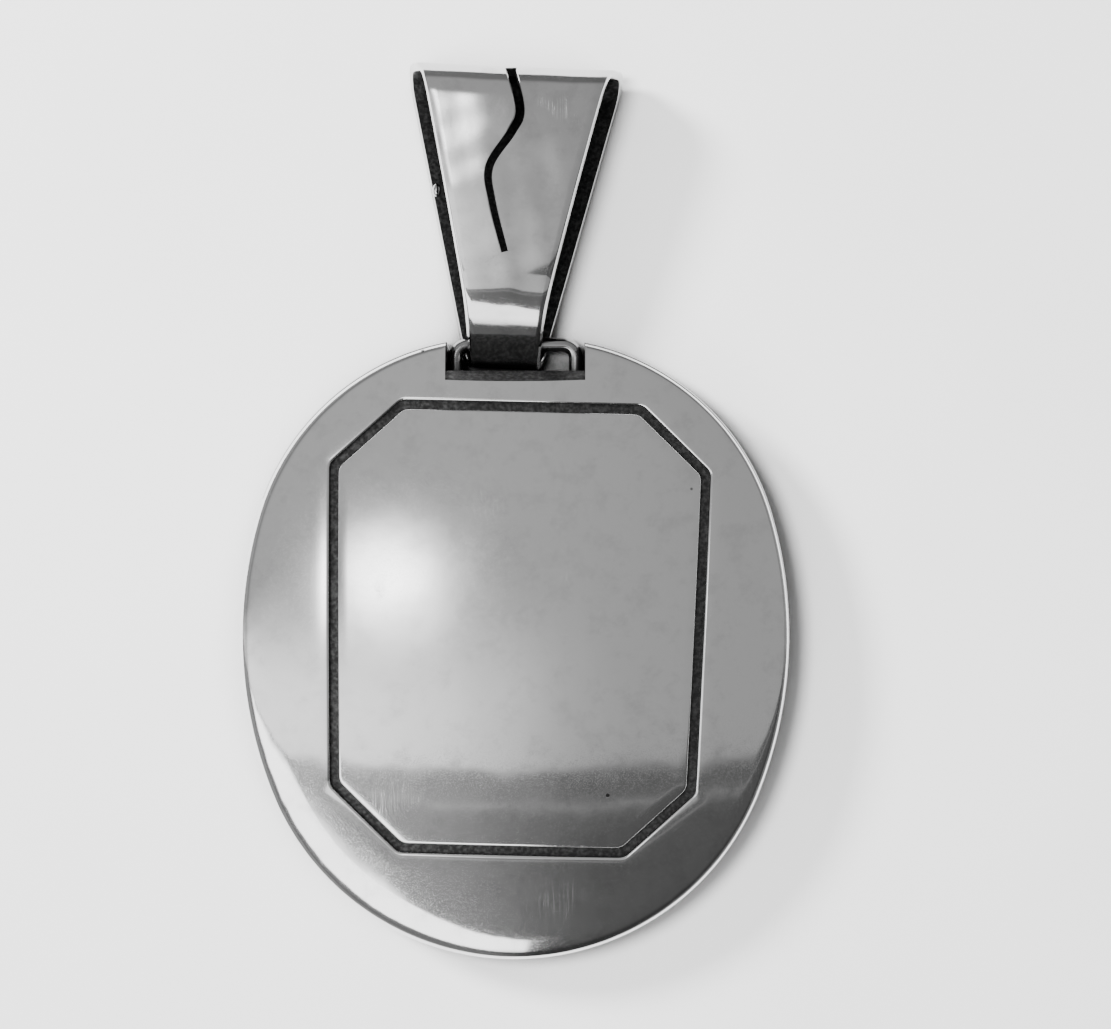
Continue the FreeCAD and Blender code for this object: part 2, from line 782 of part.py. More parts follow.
back_shell()
snap_lip()
catch_bead()
picture_stack("back", "sheet", "+")
front_shell()
octagon_panel()
front_liner()
picture_stack("front", LINER_Z, "-")
hinge_knuckles()
hinge_pin()
bail_loop()
bail()
doc.recompute()

for item in doc.Objects:
    if "Invalid" in item.State or "Error" in item.State:
        raise RuntimeError("%s did not compute: %s" % (item.Name, item.State))
for part in PARTS:
    if part.Shape.isNull() or not part.Shape.isValid() or not part.Shape.Solids:
        raise RuntimeError("%s has no sound solid" % part.Label)

os.makedirs("parts", exist_ok=True)
for part in PARTS:
    part.Shape.exportStep("parts/%s.step" % part.Label)
    print("%-22s %2d solid(s) %9.3f mm3" % (part.Label, len(part.Shape.Solids), part.Shape.Volume))
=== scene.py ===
import math

import bmesh
import bpy
import numpy as np
from mathutils import Euler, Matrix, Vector

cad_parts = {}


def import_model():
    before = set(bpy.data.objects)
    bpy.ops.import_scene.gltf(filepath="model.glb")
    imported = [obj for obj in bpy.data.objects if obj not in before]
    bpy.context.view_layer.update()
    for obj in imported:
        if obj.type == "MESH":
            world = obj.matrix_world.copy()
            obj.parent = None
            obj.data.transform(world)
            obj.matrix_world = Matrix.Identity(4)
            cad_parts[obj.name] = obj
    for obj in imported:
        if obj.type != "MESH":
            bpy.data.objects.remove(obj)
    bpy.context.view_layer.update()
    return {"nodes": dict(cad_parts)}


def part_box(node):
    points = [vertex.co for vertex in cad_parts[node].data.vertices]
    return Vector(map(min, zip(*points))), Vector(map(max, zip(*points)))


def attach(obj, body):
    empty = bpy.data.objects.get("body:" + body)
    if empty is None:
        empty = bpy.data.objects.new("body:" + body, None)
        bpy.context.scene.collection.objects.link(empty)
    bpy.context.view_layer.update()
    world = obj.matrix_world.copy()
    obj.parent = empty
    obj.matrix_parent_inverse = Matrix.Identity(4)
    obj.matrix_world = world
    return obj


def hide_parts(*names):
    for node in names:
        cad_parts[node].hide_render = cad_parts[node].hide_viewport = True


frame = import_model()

# ------------------------------------------------------------------ sizes, in millimetres
# Shapes are drawn in millimetres and scaled to metres when a mesh is made.
MM = 0.001


def box_mm(node):
    """A CAD node's lowest and highest corners in millimetres."""
    low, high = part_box(node)
    return np.array(low) / MM, np.array(high) / MM


SHELL_LOW, SHELL_HIGH = box_mm("front_shell")
BACK_LOW, BACK_HIGH = box_mm("back_shell")
LOOP_LOW, LOOP_HIGH = box_mm("bail_loop")
PIN_LOW, PIN_HIGH = box_mm("hinge_pin")

HALF_WIDTH = SHELL_HIGH[0]
HALF_LENGTH = -SHELL_LOW[1]
SEAM = BACK_HIGH[2]
COVER_BOTTOM = SHELL_LOW[2]
DEPTH = box_mm("octagon_panel")[1][2]
LINER_Z = box_mm("front_liner")[0][2]
RIM_STEP = -BACK_LOW[1] - HALF_LENGTH
HINGE_WALL_X = BACK_LOW[0]

SIDE_RADIUS = 29.9
SIDE_MIDDLE = 0.9
CROWN_RADIUS = 28.0
CORNER_RADIUS = 16.9
DOME_RADIUS = 90.0
SHEET = 0.5
BACK_ROUND = 0.9
LIP_INSET = 0.58
EDGE_ROUND = 0.12
BACK_RIM_ROUND = 0.2
HINGE_WALL = 0.65
HINGE_ROOM = 0.1
BARREL_REACH = 0.65     # how far the slot for the hinge goes up from the seam
UNEVEN = 0.012          # how uneven hand polishing leaves the cover and the panel
NAIL_RADIUS = 2.6
NAIL_HEIGHT = 0.35
FAR = 60.0              # beyond the locket, for blocks that cut right through

PANEL_MIDDLE = np.array([0.16, 1.45])
PANEL_HALF_TOP = 13.15
PANEL_HALF_FOOT = 12.6
PANEL_HALF_LENGTH = 15.6
PANEL_CUT = np.array([4.8, 4.5])
PANEL_TURN = math.radians(-1.3)
RECESS = 0.5
CHANNEL = 0.62
CHANNEL_ROUND = 0.2
PANEL_ROUND = 0.12

NOTCH_MIDDLE = (LOOP_LOW[0] + LOOP_HIGH[0]) / 2
NOTCH_HALF = 4.85
NOTCH_FLOOR = LOOP_LOW[1]
NOTCH_WALL = 1.05
BEVEL = 1.0
BEVEL_DROP = 1.15

WIRE = (LOOP_HIGH[2] - LOOP_LOW[2]) / 2
LOOP_HALF = (LOOP_HIGH[0] - LOOP_LOW[0]) / 2 - WIRE
LOOP_BEND = 0.9
BAR_Y = LOOP_HIGH[1] - WIRE
BAR_Z = (LOOP_LOW[2] + LOOP_HIGH[2]) / 2

# The strap's bends are circles (along, up, radius) in the bail's own frame. Down the front it
# is a bowed leaf, a tight knee and a shin, each starting where the one before has turned so far.
STRAP = 0.6
STRAP_CORNER = 0.13
FOOT = (-0.15, 0.0, 1.55)
FOLD_BACK = (17.2, -1.3, 2.2)
FOLD_FRONT = (17.2, 1.3, 2.2)
LEAF_RADIUS = 91.0
LEAF_START = math.radians(-5.5)
LEAF_STOP = math.radians(2.8)
KNEE_RADIUS = 5.0
KNEE_STOP = math.radians(14.0)
SHIN_RADIUS = 8.0
BAIL_HALF = 2.82
BAIL_FLARE = 0.22
BAIL_LEAD = 0.2
BAIL_SEAM = 10.6
BAIL_LEAN = math.radians(-2.4)
BAIL_SHIFT = -0.7
BAIL_REST = 0.02

WAVY_HALF_TOP = 0.33
WAVY_HALF_FOOT = 0.22
BEAD_ACROSS = 0.3
BEAD_ALONG = 0.5
BEAD_UP = 0.34

SEGMENTS = 420      # points round the oval
PATH_STEP = 0.16    # between points along the strap
INNER_COLUMNS = range(26, 48)   # the faces round a strap section that lie inside the bail, which take near-black painted shade


# ------------------------------------------------------------------ the outlines

def oval_arcs():
    """The oval's arcs as (last normal angle, centre, radius), counterclockwise from the foot."""
    side = np.array([HALF_WIDTH - SIDE_RADIUS, SIDE_MIDDLE])
    crown = np.array([0.0, HALF_LENGTH - CROWN_RADIUS])
    reach = SIDE_RADIUS - CORNER_RADIUS
    other = CROWN_RADIUS - CORNER_RADIUS
    span = np.linalg.norm(crown - side)
    along = (reach ** 2 - other ** 2 + span ** 2) / (2 * span)
    across = math.sqrt(reach ** 2 - along ** 2)
    line = (crown - side) / span
    corner = side + line * along + np.array([-line[1], line[0]]) * across
    drop = HALF_LENGTH + side[1]
    foot_radius = (SIDE_RADIUS ** 2 - side[0] ** 2 - drop ** 2) / (2 * (SIDE_RADIUS - drop))
    foot = np.array([0.0, foot_radius - HALF_LENGTH])

    low = math.atan2(*(foot - side)[::-1])
    high = math.atan2(*(corner - side)[::-1])
    top = math.atan2(*(corner - crown)[::-1])
    flip = np.array([-1.0, 1.0])
    return [
        (low, foot, foot_radius),
        (high, side, SIDE_RADIUS),
        (top, corner, CORNER_RADIUS),
        (math.pi - top, crown, CROWN_RADIUS),
        (math.pi - high, corner * flip, CORNER_RADIUS),
        (math.pi - low, side * flip, SIDE_RADIUS),
        (2 * math.pi, foot, foot_radius),
    ]


ARCS = oval_arcs()


def oval(angles, inset=0.0):
    """Points of the cover's outline drawn in by inset, and its outward normals, at normal angles."""
    ends = np.array([arc[0] for arc in ARCS])
    centres = np.array([arc[1] for arc in ARCS])
    radii = np.array([arc[2] for arc in ARCS])
    start = -math.pi / 2
    turned = (angles - start) % (2 * math.pi) + start
    number = np.minimum(np.searchsorted(ends, turned), len(ARCS) - 1)
    normals = np.stack([np.cos(turned), np.sin(turned)], axis=1)
    return centres[number] + (radii[number] - np.asarray(inset))[:, None] * normals, normals


def octagon(inset, soft=0.4):
    """The panel's octagon drawn in by inset, with softened corners, as many points."""
    slant = PANEL_CUT.sum() - np.linalg.norm(PANEL_CUT)
    cut_x = PANEL_CUT[0] - inset * slant / PANEL_CUT[1]
    cut_y = PANEL_CUT[1] - inset * slant / PANEL_CUT[0]
    end = PANEL_HALF_LENGTH - inset
    top = PANEL_HALF_TOP - inset
    foot = PANEL_HALF_FOOT - inset
    right = [(foot - cut_x, -end), (foot, cut_y - end), (top, end - cut_y), (top - cut_x, end)]
    corners = np.array(right + [(-x, y) for x, y in reversed(right)])
    points = []
    for number, corner in enumerate(corners):
        before = corners[number - 1] - corner
        after = corners[(number + 1) % len(corners)] - corner
        before = before / np.linalg.norm(before)
        after = after / np.linalg.norm(after)
        for share in np.linspace(0, 1, 9):
            # A quadratic curve from one side of the corner to the other.
            first = corner + before * soft * (1 - share)
            second = corner + after * soft * share
            points.append(first + (second - first) * share)
    points = np.array(points)
    c, s = math.cos(PANEL_TURN), math.sin(PANEL_TURN)
    return points @ np.array([[c, s], [-s, c]]) + PANEL_MIDDLE


def reach_at(outline, bearings):
    """How far a closed outline lies from the panel's middle along each bearing."""
    closed = np.vstack([outline, outline[:1]])
    shares = np.linspace(0, 1, 80, endpoint=False)
    dense = (closed[:-1, None] + (closed[1:] - closed[:-1])[:, None] * shares[None, :, None])
    dense = dense.reshape(-1, 2) - PANEL_MIDDLE
    around = np.arctan2(dense[:, 1], dense[:, 0])
    order = np.argsort(around)
    return np.interp(bearings, around[order], np.linalg.norm(dense, axis=1)[order],
                     period=2 * math.pi)


def bearings_of(points):
    """The directions of flat points from the panel's middle."""
    return np.arctan2(points[:, 1] - PANEL_MIDDLE[1], points[:, 0] - PANEL_MIDDLE[0])


def normal_angles():
    """Normal angles round the oval, close together where the octagon's corners lie."""
    even = np.linspace(-math.pi, math.pi, SEGMENTS, endpoint=False)
    dense = np.linspace(-math.pi, math.pi, 7200, endpoint=False)
    dense_bearings = bearings_of(oval(dense, 1.0)[0])
    order = np.argsort(dense_bearings)
    corner_bearings = bearings_of(octagon(0.0))
    extra = np.interp(corner_bearings, dense_bearings[order], dense[order], period=2 * math.pi)
    return np.unique(np.round(np.concatenate([even, extra]), 5))


ANGLES = normal_angles()
BEARINGS = bearings_of(oval(ANGLES, 1.0)[0])
RAYS = np.stack([np.cos(BEARINGS), np.sin(BEARINGS)], axis=1)
# How much the rim is worn round: most at the lower left, least at the upper right.
WORN = 0.5 - 0.5 * np.cos(ANGLES - math.radians(48))


def on_rays(reach):
    """Flat points on the rays through the panel's middle."""
    return PANEL_MIDDLE + RAYS * np.asarray(reach)[:, None]


def dome(flat, inset=0.0):
    """The height of the domed surface, drawn in by inset, over flat points."""
    reach = DOME_RADIUS - inset
    return DEPTH - DOME_RADIUS + np.sqrt(reach ** 2 - (flat ** 2).sum(axis=1))


def at(flat, height):
    """Flat points with a height, as three coordinates."""
    return np.column_stack([flat, np.broadcast_to(height, len(flat))])


# ------------------------------------------------------------------ mesh helpers

def new_object(name, points, faces, materials=(), marks=None):
    """An object from points in millimetres and faces, with a material number for each face."""
    mesh = bpy.data.meshes.new(name)
    mesh.from_pydata((np.asarray(points) * MM).tolist(), [], faces)
    for material in materials:
        mesh.materials.append(material)
    if marks is not None:
        mesh.polygons.foreach_set("material_index", marks)
    obj = bpy.data.objects.new(name, mesh)
    bpy.context.scene.collection.objects.link(obj)
    return obj


def stacked(name, rings, first, last, materials=(), bands=(), columns=()):
    """A closed solid of rings one after another, with a point capping each end.

    bands and columns are the numbers of the faces that take the second material: bands
    counts from ring to ring, and columns counts round a ring.
    """
    count = len(rings[0])
    points = np.vstack([[first]] + list(rings) + [[last]])
    faces = []
    marks = []
    step = np.arange(count)
    after = (step + 1) % count
    for here, there in zip(step, after):
        faces.append((0, 1 + here, 1 + there))
        marks.append(0 in bands)
    for band in range(1, len(rings)):
        low = 1 + (band - 1) * count
        high = low + count
        for here, there in zip(step, after):
            faces.append((low + here, high + here, high + there, low + there))
            marks.append(band in bands or here in columns)
    end = len(points) - 1
    low = end - count
    for here, there in zip(step, after):
        faces.append((low + here, end, low + there))
        marks.append(len(rings) in bands)
    faces = [tuple(int(i) for i in face) for face in faces]
    return new_object(name, points, faces, materials, marks)


def faced_out(obj):
    """Turns every face of a closed mesh outwards."""
    work = bmesh.new()
    work.from_mesh(obj.data)
    bmesh.ops.recalc_face_normals(work, faces=work.faces)
    work.to_mesh(obj.data)
    work.free()
    return obj


def settle(obj):
    """Replaces an object's mesh with the result of its modifiers."""
    bpy.context.view_layer.update()
    evaluated = obj.evaluated_get(bpy.context.evaluated_depsgraph_get())
    mesh = bpy.data.meshes.new_from_object(evaluated)
    obj.modifiers.clear()
    obj.data = mesh
    return obj


def carve(obj, *cutters, finish=0):
    """Cuts one solid with others, which are used up; finish numbers the new faces' material."""
    for cutter in cutters:
        cutter.data.polygons.foreach_set("material_index", [finish] * len(cutter.data.polygons))
        modifier = obj.modifiers.new("cut", "BOOLEAN")
        modifier.solver = "EXACT"
        modifier.object = faced_out(cutter)
        settle(obj)
        bpy.data.objects.remove(cutter)
    return obj


def soften(obj, width, angle=35, segments=2):
    """Adds a small rounding to the edges sharper than the angle."""
    bevel = obj.modifiers.new("bevel", "BEVEL")
    bevel.width = width * MM
    bevel.segments = segments
    bevel.limit_method = "ANGLE"
    bevel.angle_limit = math.radians(angle)
    bevel.use_clamp_overlap = True
    bevel.harden_normals = False
    return obj


def smooth(obj, angle=35):
    """Shades smooth except across edges sharper than the angle."""
    obj.data.polygons.foreach_set("use_smooth", [True] * len(obj.data.polygons))
    obj.data.set_sharp_from_angle(angle=math.radians(angle))
    weighted = obj.modifiers.new("normals", "WEIGHTED_NORMAL")
    weighted.keep_sharp = True
    weighted.weight = 80
    return obj


def block(low, high):
    """A box between two corners, to cut with."""
    points = [(x, y, z) for x in (low[0], high[0]) for y in (low[1], high[1])
              for z in (low[2], high[2])]
    faces = [(0, 1, 3, 2), (4, 6, 7, 5), (0, 4, 5, 1), (2, 3, 7, 6), (0, 2, 6, 4), (1, 5, 7, 3)]
    return new_object("cutter", points, faces)


def prism(flat, low, high):
    """A flat outline raised between two heights, to cut with."""
    count = len(flat)
    points = np.vstack([at(flat, low), at(flat, high)])
    sides = [(i, (i + 1) % count, count + (i + 1) % count, count + i) for i in range(count)]
    caps = [tuple(range(count)), tuple(range(count, 2 * count))]
    return new_object("cutter", points, sides + caps)


def sideways(profile, low, high):
    """An outline of (y, z) points carried along X, to cut with."""
    profile = np.asarray(profile)
    count = len(profile)
    near = np.column_stack([np.full(count, low), profile])
    far = np.column_stack([np.full(count, high), profile])
    sides = [(i, (i + 1) % count, count + (i + 1) % count, count + i) for i in range(count)]
    caps = [tuple(range(count)), tuple(range(count, 2 * count))]
    return new_object("cutter", np.vstack([near, far]), sides + caps)


def notch_block():
    """The block of metal round the notch, which the hollows leave standing."""
    return block((NOTCH_MIDDLE - NOTCH_HALF - NOTCH_WALL, NOTCH_FLOOR - NOTCH_WALL, -5),
                 (NOTCH_MIDDLE + NOTCH_HALF + NOTCH_WALL, FAR, 20))


def notch_cutters():
    """The notch and the bevel at its floor, which slopes towards the front."""
    low, high = NOTCH_MIDDLE - NOTCH_HALF, NOTCH_MIDDLE + NOTCH_HALF
    knee = DEPTH - 2 * BEVEL - BEVEL_DROP
    notch = block((low, NOTCH_FLOOR, -5), (high, FAR, 20))
    bevel = sideways([(NOTCH_FLOOR - 2 * BEVEL, DEPTH), (NOTCH_FLOOR, knee),
                      (NOTCH_FLOOR + 1, knee), (NOTCH_FLOOR + 1, DEPTH)], low, high)
    return notch, bevel


def hand(points, size):
    """The small unevenness that hammering and hand polishing leave, in millimetres."""
    x, y = points[:, 0], points[:, 1]
    slow = np.sin(0.31 * x + 0.17 * y + 1.3) * np.sin(0.21 * y - 0.12 * x + 0.4)
    fast = np.sin(0.83 * x - 0.41 * y + 2.1) * np.sin(0.67 * y + 0.29 * x)
    return size * (slow + 0.35 * fast)


# ------------------------------------------------------------------ the case

def eight(inset):
    """The octagon drawn in by inset, on the rays through the panel's middle."""
    return on_rays(reach_at(octagon(inset), BEARINGS))


def rim_curve(share):
    """Points part of the way over the worn rim, from the dome to the upright side.

    It is a curve from the dome, WORN deep, to the side, with its tightest turn near the side.
    """
    deep = 0.55 + 1.75 * WORN
    drop = 0.34 + 0.42 * WORN
    start, normals = oval(ANGLES, deep)
    tangent_drop = -(start * normals).sum(axis=1) / (dome(start) - DEPTH + DOME_RADIUS)
    start = at(start, dome(start))
    corner = at(oval(ANGLES)[0], start[:, 2] + deep * tangent_drop)
    stop = corner - at(np.zeros_like(normals), drop)
    near = start + (corner - start) * 0.75
    far = stop + (corner - stop) * 0.62
    left = 1 - share
    return (left ** 3 * start + 3 * left ** 2 * share * near
            + 3 * left * share ** 2 * far + share ** 3 * stop)


def pressed_down(away):
    """How far the metal beside the channel is pressed down, at a distance from its edge."""
    return 0.028 * np.clip(1 - away / 0.8, 0, 1) ** 2


def cover_rings():
    """The cover's outside, from the middle of its recess out and down to the seam."""
    rings = []
    for share in np.linspace(0.15, 1.0, 7):
        flat = PANEL_MIDDLE + (eight(0.06) - PANEL_MIDDLE) * share
        rings.append(at(flat, dome(flat, RECESS)))
    floor_bands = len(rings)
    pressed = pressed_down(0.0)
    for share in (0.06, 0.5, 1.0):
        flat = eight(0.0)
        rings.append(at(flat, dome(flat, RECESS) + share * (RECESS - CHANNEL_ROUND - pressed)))
    channel_bands = len(rings)
    for turn in np.linspace(0, math.pi / 2, 6)[1:]:
        flat = eight(-CHANNEL_ROUND * (1 - math.cos(turn)))
        rings.append(at(flat, dome(flat) - CHANNEL_ROUND * (1 - math.sin(turn)) - pressed))
    for away in (0.05, 0.15, 0.3, 0.5, 0.8):
        flat = eight(-CHANNEL_ROUND - away)
        rings.append(at(flat, dome(flat) - pressed_down(away)))

    inner = rings[-1][:, :2]
    outer = rim_curve(0.0)[:, :2]
    for share in (0.12, 0.3, 0.5, 0.7, 0.88, 0.97):
        flat = inner + (outer - inner) * share
        rings.append(at(flat, dome(flat)))
    for share in np.linspace(0, 1, 17):
        ring = rim_curve(share)
        ring[:, 2] += dents(ring) * WORN * math.sin(math.pi * share) ** 2
        rings.append(ring)
    for turn in np.linspace(0, math.pi / 2, 4):
        flat = oval(ANGLES, EDGE_ROUND * (1 - math.cos(turn)))[0]
        rings.append(at(flat, COVER_BOTTOM + EDGE_ROUND * (1 - math.sin(turn))))
    return rings, range(floor_bands - 1, channel_bands)


def dents(points):
    """The fine unevenness of the worn rim, in millimetres."""
    x, y = points[:, 0], points[:, 1]
    return 0.005 * (np.sin(3.1 * x + 1.3 * y) * np.sin(2.3 * y - 1.7 * x + 0.8)
                    + 0.5 * np.sin(5.3 * x - 2.9 * y + 1.1))


def uneven(rings, size, low, high):
    """Adds hand-made unevenness to rings, none at the low height and all of it at the high."""
    for ring in rings:
        share = np.clip((ring[:, 2] - low) / (high - low), 0, 1)
        ring[:, 2] += hand(ring, size) * share
    return rings


def front_cover():
    """The domed cover with its recess, hollowed below the liner and notched at the top."""
    rings, channel = cover_rings()
    uneven(rings, UNEVEN, COVER_BOTTOM + 1.0, DEPTH)
    inner_flat = oval(ANGLES, 6.0)[0]
    rings.append(at(inner_flat, COVER_BOTTOM))
    first = (*PANEL_MIDDLE, DEPTH - RECESS)
    cover = stacked("front_cover", rings, first, (0, 0, COVER_BOTTOM),
                    (POLISHED, DARK, SATIN), channel)
    faced_out(cover)

    hollow = prism(oval(ANGLES, SHEET)[0], COVER_BOTTOM - 1, LINER_Z + 0.05)
    carve(hollow, notch_block())
    slot_half = (PIN_HIGH[1] - PIN_LOW[1]) / 2 + HINGE_ROOM
    barrel_slot = block((-HALF_WIDTH - 1, SIDE_MIDDLE - slot_half, 0),
                        (HINGE_WALL_X, SIDE_MIDDLE + slot_half, SEAM + BARREL_REACH))
    notch, bevel = notch_cutters()
    carve(cover, hollow, finish=2)
    carve(cover, notch, finish=1)
    carve(cover, bevel, finish=1)
    carve(cover, barrel_slot, thumbnail_scallop())
    soften(cover, 0.05)
    return settle(cover)


def thumbnail_scallop():
    """The shallow scallop under the rim, opposite the hinge, that a thumbnail opens."""
    turns = np.linspace(0, 2 * math.pi, 96, endpoint=False)
    profile = np.column_stack([SIDE_MIDDLE + NAIL_RADIUS * np.cos(turns),
                               SEAM - NAIL_RADIUS + NAIL_HEIGHT + NAIL_RADIUS * np.sin(turns)])
    return sideways(profile, HALF_WIDTH - 1, HALF_WIDTH + 1)


def octagonal_panel():
    """The plate in the recess, following the dome, with burnished edges."""
    rings = []
    top = eight(CHANNEL + PANEL_ROUND + 0.04)
    for share in np.linspace(0.06, 1.0, 22):
        flat = PANEL_MIDDLE + (top - PANEL_MIDDLE) * share
        rings.append(at(flat, dome(flat)))
    for turn in np.linspace(0, math.pi / 2, 5)[1:]:
        flat = eight(CHANNEL + PANEL_ROUND * (1 - math.sin(turn)))
        rings.append(at(flat, dome(flat) - PANEL_ROUND * (1 - math.cos(turn))))
    edge_bands = len(rings)
    flat = eight(CHANNEL)
    rings.append(at(flat, dome(flat) - 0.3))
    rings.append(at(flat, dome(flat, RECESS)))
    uneven(rings, UNEVEN, COVER_BOTTOM + 1.0, DEPTH)
    middle = at(PANEL_MIDDLE[None, :], dome(PANEL_MIDDLE[None, :]))[0]
    middle[2] += hand(middle[None, :], UNEVEN)[0]
    last = (*PANEL_MIDDLE, DEPTH - RECESS)
    panel = stacked("front_panel", rings, middle, last, (POLISHED, DARK),
                    (edge_bands, edge_bands + 1))
    return faced_out(panel)


def back_case():
    """The flat-backed tray with rounded edges, hollow, flat at the hinge and notched."""
    inner = BACK_ROUND - RIM_STEP
    rings = []
    base = oval(ANGLES, inner)[0]
    for share in (0.3, 0.6, 0.85, 1.0):
        rings.append(at(base * share, 0.0))
    for turn in np.linspace(0, math.pi / 2, 10)[1:]:
        flat = oval(ANGLES, inner - BACK_ROUND * math.sin(turn))[0]
        rings.append(at(flat, BACK_ROUND * (1 - math.cos(turn))))
    for turn in np.linspace(0, math.pi / 2, 6):
        flat = oval(ANGLES, -RIM_STEP + BACK_RIM_ROUND * (1 - math.cos(turn)))[0]
        rings.append(at(flat, SEAM - BACK_RIM_ROUND * (1 - math.sin(turn))))
    rings.append(at(oval(ANGLES, 5.0)[0], SEAM))
    case = stacked("back_case", rings, (0, 0, 0), (0, 0, SEAM), (CASE_SILVER, DARK, SATIN))
    faced_out(case)

    hollow = prism(oval(ANGLES, LIP_INSET)[0], SHEET, SEAM + 1)
    behind_hinge = block((-FAR, -FAR, -5), (HINGE_WALL_X + HINGE_WALL, FAR, 20))
    carve(hollow, behind_hinge, notch_block())
    hinge_flat = block((-FAR, -FAR, -5), (HINGE_WALL_X, FAR, 20))
    notch, bevel = notch_cutters()
    bpy.data.objects.remove(bevel)
    carve(case, hollow, finish=2)
    carve(case, notch, finish=1)
    carve(case, hinge_flat)
    soften(case, 0.06)
    return settle(case)


# ------------------------------------------------------------------ the bail and its loop

def inside(circle, tilt, radius):
    """A circle that touches another from the inside where its normal has the given tilt."""
    u, w, other = circle
    return (u - (other - radius) * math.sin(tilt), w + (other - radius) * math.cos(tilt), radius)


def strap_path():
    """The strap's outer line round its three bends as points and normals.

    It starts under the bar and runs up the back, over the fold and down the bowed front leaf.
    The coordinates are (along, up) in the bail's own frame.
    """
    leaf = inside(FOLD_FRONT, LEAF_START, LEAF_RADIUS)
    knee = inside(leaf, LEAF_STOP, KNEE_RADIUS)
    shin = inside(knee, KNEE_STOP, SHIN_RADIUS)
    circles = [FOOT, FOLD_BACK, FOLD_FRONT, leaf, knee, shin]
    count = len(circles)
    bearings = []
    for number, (u, w, radius) in enumerate(circles):
        next_u, next_w, next_radius = circles[(number + 1) % count]
        run = math.hypot(next_u - u, next_w - w)
        bearing = math.atan2(next_w - w, next_u - u) - math.pi / 2
        bearings.append(bearing + math.asin(np.clip((radius - next_radius) / run, -1, 1)))
    points, normals = [], []
    for number in range(count):
        u, w, radius = circles[number]
        stop_u, stop_w, stop_radius = circles[(number + 1) % count]
        leaving = bearings[number]
        normal = np.array([math.cos(leaving), math.sin(leaving)])
        start = np.array([u, w]) + radius * normal
        stop = np.array([stop_u, stop_w]) + stop_radius * normal
        steps = max(1, int(np.linalg.norm(stop - start) / PATH_STEP))
        for share in np.linspace(0, 1, steps, endpoint=False):
            points.append(start + (stop - start) * share)
            normals.append(normal)
        turning = (bearings[(number + 1) % count] - leaving) % (2 * math.pi)
        steps = max(2, int(turning * stop_radius / PATH_STEP))
        for share in np.linspace(0, 1, steps, endpoint=False):
            bearing = leaving + turning * share
            normal = np.array([math.cos(bearing), math.sin(bearing)])
            points.append(np.array([stop_u, stop_w]) + stop_radius * normal)
            normals.append(normal)
    return eased(np.array(points), np.array(normals))


def eased(points, normals, rounds=7):
    """Blends the bends into the straights, so that the strap's curve changes gradually."""
    for _ in range(rounds):
        points = (np.roll(points, 1, axis=0) + 2 * points + np.roll(points, -1, axis=0)) / 4
        normals = (np.roll(normals, 1, axis=0) + 2 * normals + np.roll(normals, -1, axis=0)) / 4
    return points, normals / np.linalg.norm(normals, axis=1)[:, None]


def bail_place(points):
    """Points of the bail's own frame (across, along, up) where the bail hangs and leans."""
    u, w, radius = FOLD_BACK
    lift = math.asin((radius + BAIL_REST - BAR_Z) / math.hypot(u, w)) - math.atan2(w, u)
    turn = Euler((lift, 0, 0)).to_matrix()
    lean = Euler((0, 0, BAIL_LEAN)).to_matrix()
    matrix = np.array(lean @ turn)
    return np.asarray(points) @ matrix.T + np.array([BAIL_SHIFT, BAR_Y, BAR_Z])


def half_width(u, w):
    """Half of the strap's width at a place in the bail's own frame."""
    return BAIL_HALF + BAIL_FLARE * u - BAIL_LEAD * w


def strap_section(point, normal):
    """One cross-section of the strap: a rectangle with rounded corners, in its own frame."""
    corner = STRAP_CORNER
    outer_half = half_width(*point)
    inner = point - normal * STRAP
    inner_half = half_width(*inner)
    section = []
    for share in np.linspace(-1, 1, 21):
        section.append((share * (outer_half - corner), 0.0))
    for turn in (30, 60, 90):
        a = math.radians(turn)
        section.append((outer_half - corner * (1 - math.sin(a)), corner * (1 - math.cos(a))))
    for turn in (0, 30, 60, 90):
        a = math.radians(turn)
        section.append((inner_half - corner * (1 - math.cos(a)),
                        STRAP - corner * (1 - math.sin(a))))
    for share in np.linspace(1, -1, 21)[1:]:
        section.append((share * (inner_half - corner), STRAP))
    for turn in (30, 60, 90):
        a = math.radians(turn)
        section.append((-inner_half + corner * (1 - math.sin(a)),
                        STRAP - corner * (1 - math.cos(a))))
    for turn in (0, 30, 60):
        a = math.radians(turn)
        section.append((-outer_half + corner * (1 - math.cos(a)),
                        corner * (1 - math.sin(a))))
    placed = []
    for across, depth in section:
        u, w = point - normal * depth
        placed.append((across, u, w))
    return np.array(placed)


def strap_piece(name, points, normals):
    """A length of the strap between two places on its path, closed at both ends."""
    rings = [strap_section(point, normal) for point, normal in zip(points, normals)]
    for ring in rings:
        flat = np.column_stack([ring[:, 0] * 2.2 + 4.0, ring[:, 1] * 2.1])
        on_front = np.clip((ring[:, 1] - 2) / 3, 0, 1) * np.clip(ring[:, 2] - 1, 0, 1)
        crown = 0.14 + 0.10 * np.clip((ring[:, 1] - 9) / 7, 0, 1)
        crown = crown * (ring[:, 0] / half_width(ring[:, 1], ring[:, 2])) ** 2
        ring[:, 2] += (hand(flat, 0.04) - 0.054 - crown) * on_front
    first = rings[0].mean(axis=0)
    last = rings[-1].mean(axis=0)
    rings = [bail_place(ring) for ring in rings]
    # The faces inside the bail take the near-black painted shade.
    piece = stacked(name, rings, bail_place([first])[0], bail_place([last])[0],
                    (BAIL_SILVER, SHADE_BLACK), columns=INNER_COLUMNS)
    return faced_out(piece)


